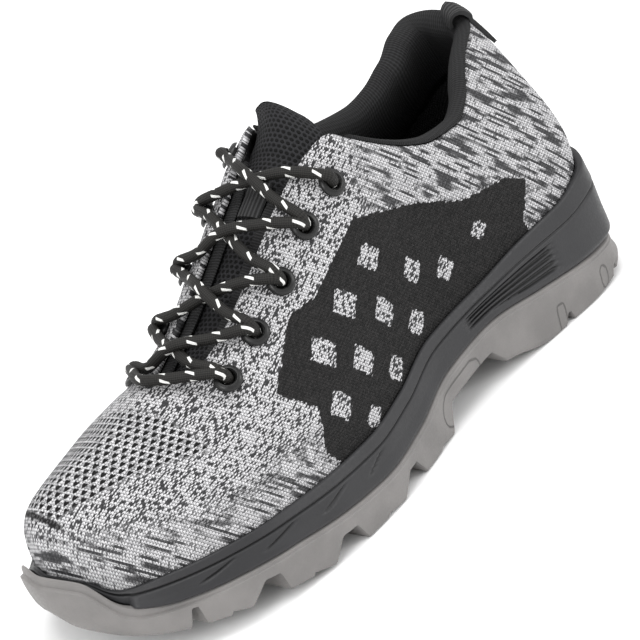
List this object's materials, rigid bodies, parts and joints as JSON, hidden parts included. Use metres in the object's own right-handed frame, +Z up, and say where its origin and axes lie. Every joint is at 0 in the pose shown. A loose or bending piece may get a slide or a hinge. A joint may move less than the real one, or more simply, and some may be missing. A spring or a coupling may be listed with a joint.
{
  "type": "safety sneaker",
  "caption": "Low-cut knitted work shoe for the left foot, with a padded collar, tied lace, foam midsole and deep-lugged outsole.",
  "frame": {"origin": "middle of the shoe's bounding box in plan, on the plane it stands on", "axes": "+X towards the toe, +Y towards the outer side of a left shoe, +Z up"},
  "size_m": [0.3, 0.1048, 0.128],
  "materials": {
    "outsole": "matte moulded rubber",
    "midsole": "satin moulded foam",
    "insole": "brushed cloth over foam",
    "knit": "flat knit, light grey and black yarn",
    "lining": "padded knitted lining",
    "trim": "woven tape",
    "tongue": "padded spacer mesh",
    "webbing": "ribbed webbing",
    "lace": "braided cord with light flecks",
    "eyelet": "black satin enamel"
  },
  "bodies": {
    "root": {"outsole": "outsole", "midsole": "midsole", "insole": "insole", "upper": "knit", "collar_cuff": "lining", "throat_trim": "trim", "tongue": "tongue", "tongue_loop": "webbing", "heel_tab": "webbing", "lace": "lace", "eyelet_outer_1": "eyelet", "eyelet_outer_2": "eyelet", "eyelet_outer_3": "eyelet", "eyelet_outer_4": "eyelet", "eyelet_outer_5": "eyelet", "eyelet_inner_1": "eyelet", "eyelet_inner_2": "eyelet", "eyelet_inner_3": "eyelet", "eyelet_inner_4": "eyelet", "eyelet_inner_5": "eyelet"}
  },
  "joints": []
}
